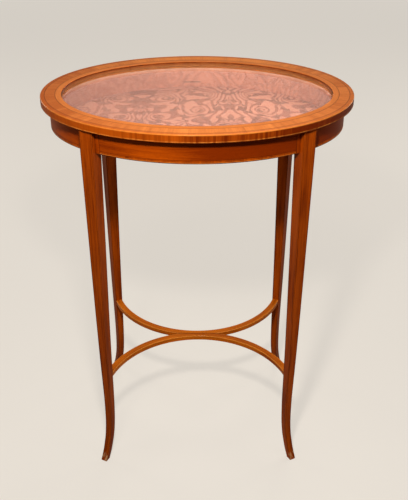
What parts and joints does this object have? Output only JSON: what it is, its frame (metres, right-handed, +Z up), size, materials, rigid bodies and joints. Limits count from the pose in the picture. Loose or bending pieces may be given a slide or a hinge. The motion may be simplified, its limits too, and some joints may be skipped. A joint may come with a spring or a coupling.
{
  "type": "oval display table",
  "caption": "Oval collectors display table: a shallow silk-lined case under a hinged lid with a flat glass pane, on tapered legs with outswept feet and hooped stretchers.",
  "frame": {"origin": "on the floor under the middle of the oval", "axes": "+Z up, +X to the right along the long axis of the oval seen from the front, front towards -Y, hinges at +Y"},
  "size_m": [0.57, 0.418, 0.752],
  "materials": {
    "satinwood": "polished satinwood veneer, orange brown",
    "leg_wood": "polished satinwood, darker red brown",
    "pale_wood": "unpolished secondary wood",
    "silk": "rose silk damask",
    "brass": "aged, satin",
    "glass": "clear, flat"
  },
  "bodies": {
    "stand": {"front_left_leg": "leg_wood", "front_right_leg": "leg_wood", "rear_left_leg": "leg_wood", "rear_right_leg": "leg_wood", "right_rail": "satinwood", "rear_rail": "satinwood", "left_rail": "satinwood", "front_rail": "satinwood", "front_stretcher": "satinwood", "rear_stretcher": "satinwood", "stretcher_screw_1": "brass", "stretcher_screw_2": "brass", "bottom_board": "pale_wood", "wall_lining": "silk", "base_pad": "silk", "board_screw_right_1": "brass", "board_screw_right_2": "brass", "board_screw_rear_1": "brass", "board_screw_rear_2": "brass", "board_screw_left_1": "brass", "board_screw_left_2": "brass", "board_screw_front_1": "brass", "board_screw_front_2": "brass", "left_hinge_case_leaf": "brass", "left_hinge_pin": "brass", "left_hinge_case_screw_1": "brass", "left_hinge_case_screw_2": "brass", "right_hinge_case_leaf": "brass", "right_hinge_pin": "brass", "right_hinge_case_screw_1": "brass", "right_hinge_case_screw_2": "brass"},
    "lid": {"lid_frame_right": "satinwood", "lid_frame_rear": "satinwood", "lid_frame_left": "satinwood", "lid_frame_front": "satinwood", "lid_tongue_right": "pale_wood", "lid_tongue_rear": "pale_wood", "lid_tongue_left": "pale_wood", "lid_tongue_front": "pale_wood", "glazing_bead_right": "leg_wood", "glazing_bead_rear": "leg_wood", "glazing_bead_left": "leg_wood", "glazing_bead_front": "leg_wood", "glass_pane": "glass", "left_hinge_lid_leaf": "brass", "left_hinge_lid_screw_1": "brass", "left_hinge_lid_screw_2": "brass", "right_hinge_lid_leaf": "brass", "right_hinge_lid_screw_1": "brass", "right_hinge_lid_screw_2": "brass"}
  },
  "joints": [
    {"name": "lid_hinge", "type": "hinge", "parent": "stand", "child": "lid", "pos_m": [0, 0.1965, 0.73685], "axis": [-1, 0, 0], "range_deg": [0, 102]}
  ]
}
